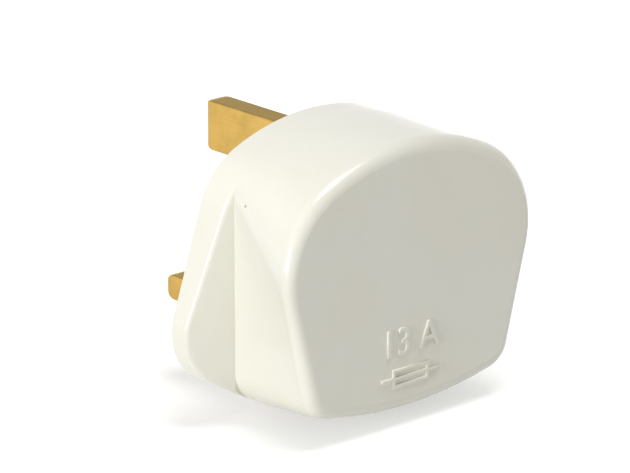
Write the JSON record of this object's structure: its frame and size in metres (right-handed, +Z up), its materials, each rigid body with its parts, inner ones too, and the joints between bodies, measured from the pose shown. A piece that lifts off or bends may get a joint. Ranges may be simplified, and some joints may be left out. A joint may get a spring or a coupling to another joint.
{
  "type": "mains plug",
  "caption": "Rewirable fused three pin mains plug in ivory plastic, with brass pins, sleeved line pins, finger grips and a cord entry at the foot",
  "frame": {"origin": "on the engagement face, on the axis of the cover screw, midway between the earth pin and the line pins", "axes": "+X to the right seen from the cover (live side), +Y the way the pins point, +Z up towards the earth pin"},
  "size_m": [0.056, 0.0452, 0.0446],
  "materials": {
    "ivory_moulding": "glossy ivory urea moulding",
    "pin_brass": "plain drawn brass",
    "sleeve_black": "black insulating sleeve",
    "screw_brass": "turned brass",
    "clip_brass": "spring brass strip",
    "fuse_ceramic": "unglazed ceramic tube",
    "fuse_cap_plate": "plated brass",
    "fuse_sand": "quartz sand",
    "grip_fibre": "red vulcanised fibre",
    "screw_steel": "zinc plated steel"
  },
  "bodies": {
    "root": {"cover": "ivory_moulding", "base": "ivory_moulding", "earth_pin": "pin_brass", "neutral_pin": "pin_brass", "live_pin": "pin_brass", "neutral_pin_sleeve": "sleeve_black", "live_pin_sleeve": "sleeve_black", "terminal_screws": "screw_brass", "live_terminal": "pin_brass", "line_fuse_clip": "clip_brass", "load_fuse_clip": "clip_brass", "fuse_tube": "fuse_ceramic", "fuse_line_cap": "fuse_cap_plate", "fuse_load_cap": "fuse_cap_plate", "fuse_filler": "fuse_sand", "fuse_wire": "fuse_cap_plate", "cord_grip_bar": "grip_fibre", "cord_grip_screws": "screw_steel", "cover_screw": "screw_steel", "cover_nut": "screw_brass", "screw_washer": "grip_fibre"}
  },
  "joints": []
}
